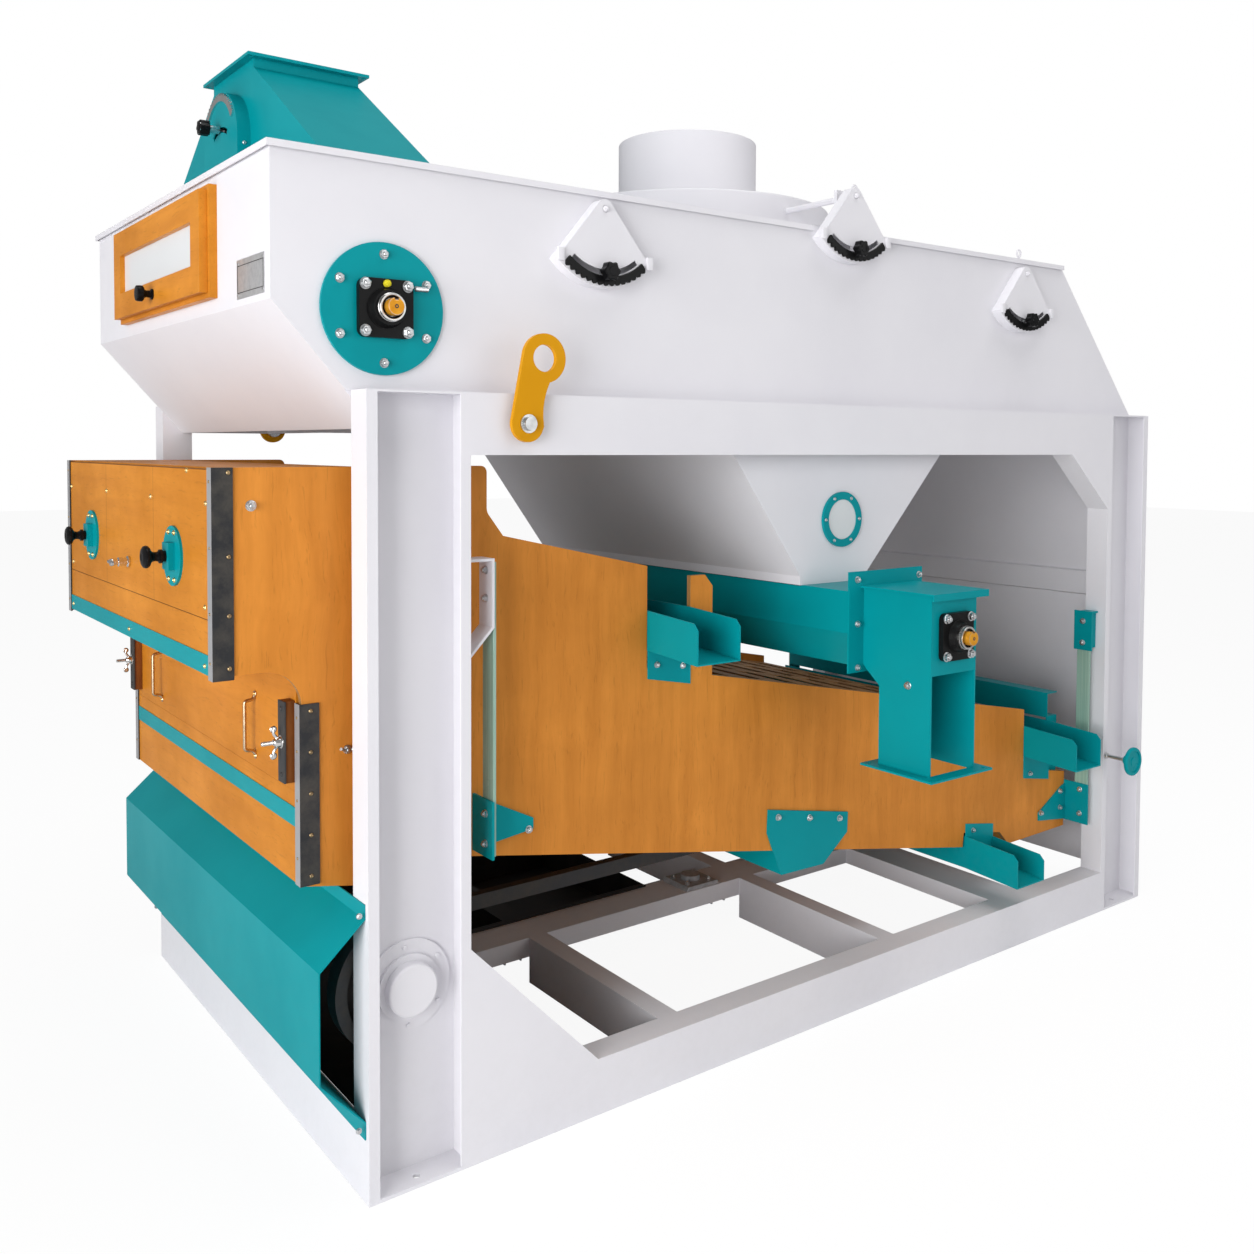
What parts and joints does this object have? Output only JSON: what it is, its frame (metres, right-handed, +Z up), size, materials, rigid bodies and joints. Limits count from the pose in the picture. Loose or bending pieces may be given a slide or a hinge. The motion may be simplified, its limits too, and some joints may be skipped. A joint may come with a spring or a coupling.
{
  "type": "grain pre-cleaner",
  "caption": "Grain pre-cleaner: aspirating casing with feed roll, air valves, settling hopper and screw over a plywood sieve boat on leaf springs in a steel frame",
  "frame": {"origin": "on the floor, at the centre of the four anchor holes of the frame", "axes": "+X along the machine from the inlet end to the outlet end of the sieves, +Y from the operating side to the rear, +Z up"},
  "size_m": [3.4605, 2.0533, 2.707],
  "materials": {
    "white_paint": "satin",
    "teal_paint": "satin",
    "yellow_paint": "satin",
    "black_paint": "satin",
    "dark_iron": "rough",
    "cast_alloy": "cast",
    "black_plastic": "moulded",
    "plain_steel": "plain",
    "dark_steel": "rolled",
    "chrome": "polished",
    "varnished_plywood": "varnished",
    "glass_fibre": "plain",
    "glass": "clear"
  },
  "bodies": {
    "frame": {"front_posts": "white_paint", "rear_posts": "white_paint", "frame_beams": "white_paint", "floor_rails": "white_paint", "rail_casting": "cast_alloy", "end_panels": "white_paint", "fines_tray": "black_paint", "upper_casing": "white_paint", "casing_lid": "white_paint", "settling_hopper": "white_paint", "sight_glass_ring": "teal_paint", "sight_glass_pane": "glass", "outlet_drum": "white_paint", "outlet_duct": "white_paint", "feed_inlet": "teal_paint", "inlet_quadrant_box": "teal_paint", "feed_bearing_discs": "teal_paint", "flange_bearings": "black_paint", "left_sector_box": "white_paint", "throttle_sector_box": "white_paint", "right_sector_box": "white_paint", "toothed_arcs": "black_plastic", "screw_trough": "teal_paint", "discharge_spout": "teal_paint", "window_surround": "varnished_plywood", "lug_bolts": "plain_steel", "left_spring_hangers": "white_paint", "right_spring_hangers": "teal_paint", "shaft_bearing_covers": "white_paint", "drive_hood": "teal_paint", "leaf_springs": "glass_fibre"},
    "roll": {"feed_roll": "plain_steel"},
    "screw": {"conveyor_screw": "plain_steel"},
    "drive_shaft": {"eccentric_shaft": "dark_iron"},
    "wheel": {"handwheel": "teal_paint"},
    "left_valve": {"left_air_valve": "plain_steel"},
    "throttle": {"throttle_valve": "plain_steel"},
    "right_valve": {"right_air_valve": "plain_steel"},
    "divider": {"inlet_divider_flap": "plain_steel"},
    "sash": {"window_sash": "varnished_plywood", "window_pane": "glass"},
    "front_lug": {"front_lifting_lug": "yellow_paint"},
    "rear_lug": {"rear_lifting_lug": "yellow_paint"},
    "boat": {"boat_sides": "varnished_plywood", "boat_floor": "varnished_plywood", "sieve_decks": "varnished_plywood", "cross_chutes": "teal_paint", "drive_brackets": "teal_paint", "connecting_rods": "black_paint", "corner_angles": "dark_steel", "boat_strips": "teal_paint", "spring_feet": "teal_paint"},
    "top_door": {"upper_door": "varnished_plywood", "clamp_discs": "teal_paint"},
    "front_knob": {"front_clamp_knob": "black_plastic"},
    "rear_knob": {"rear_clamp_knob": "black_plastic"},
    "latch": {"door_latch": "chrome"},
    "low_door": {"lower_door": "varnished_plywood", "door_handles": "chrome", "clamp_bars": "plain_steel"}
  },
  "joints": [
    {"name": "roll_turn", "type": "hinge", "parent": "frame", "child": "roll", "pos_m": [-1.477, 0, 1.981], "axis": [0, 1, 0], "continuous": true},
    {"name": "screw_turn", "type": "hinge", "parent": "frame", "child": "screw", "pos_m": [0.01, 0, 1.168], "axis": [0, 1, 0], "continuous": true},
    {"name": "drive_turn", "type": "hinge", "parent": "frame", "child": "drive_shaft", "pos_m": [-1.4225, 0, 0.437], "axis": [0, 1, 0], "continuous": true},
    {"name": "wheel_turn", "type": "hinge", "parent": "frame", "child": "wheel", "pos_m": [1.312, -0.806, 0.57], "axis": [0, 1, 0], "continuous": true},
    {"name": "left_valve_swing", "type": "hinge", "parent": "frame", "child": "left_valve", "pos_m": [-0.893, 0, 2.268], "axis": [0, 1, 0], "range_deg": [-35, 35]},
    {"name": "throttle_swing", "type": "hinge", "parent": "frame", "child": "throttle", "pos_m": [0.011, 0, 2.416], "axis": [0, 1, 0], "range_deg": [-35, 35]},
    {"name": "right_valve_swing", "type": "hinge", "parent": "frame", "child": "right_valve", "pos_m": [0.849, 0, 2.264], "axis": [0, 1, 0], "range_deg": [-35, 35]},
    {"name": "divider_swing", "type": "hinge", "parent": "frame", "child": "divider", "pos_m": [-1.419, 0, 2.4], "axis": [1, 0, 0], "range_deg": [-25, 25]},
    {"name": "sash_swing", "type": "hinge", "parent": "frame", "child": "sash", "pos_m": [-1.75, 0.012, 2.269], "axis": [0, 1, 0], "range_deg": [0, 80]},
    {"name": "front_lug_swing", "type": "hinge", "parent": "frame", "child": "front_lug", "pos_m": [-1.158, -0.826, 1.73], "axis": [0, 1, 0], "range_deg": [-45, 45]},
    {"name": "rear_lug_swing", "type": "hinge", "parent": "frame", "child": "rear_lug", "pos_m": [-1.158, 0.826, 1.73], "axis": [0, 1, 0], "range_deg": [-45, 45]},
    {"name": "boat_shake", "type": "slide", "parent": "frame", "child": "boat", "axis": [1, 0, 0], "range_m": [-0.008, 0.008], "stiffness_N_per_m": 40000, "deforming": ["leaf_springs"]},
    {"name": "top_door_pull", "type": "slide", "parent": "boat", "child": "top_door", "axis": [-1, 0, 0], "range_m": [0, 0.3]},
    {"name": "front_knob_turn", "type": "hinge", "parent": "top_door", "child": "front_knob", "pos_m": [-1.86, -0.398, 1.424], "axis": [1, 0, 0], "range_deg": [-90, 90]},
    {"name": "rear_knob_turn", "type": "hinge", "parent": "top_door", "child": "rear_knob", "pos_m": [-1.86, 0.38, 1.424], "axis": [1, 0, 0], "range_deg": [-90, 90]},
    {"name": "latch_turn", "type": "hinge", "parent": "top_door", "child": "latch", "pos_m": [-1.86, -0.009, 1.38], "axis": [1, 0, 0], "range_deg": [-90, 90]},
    {"name": "low_door_pull", "type": "slide", "parent": "boat", "child": "low_door", "axis": [-1, 0, 0], "range_m": [0, 0.15]}
  ]
}
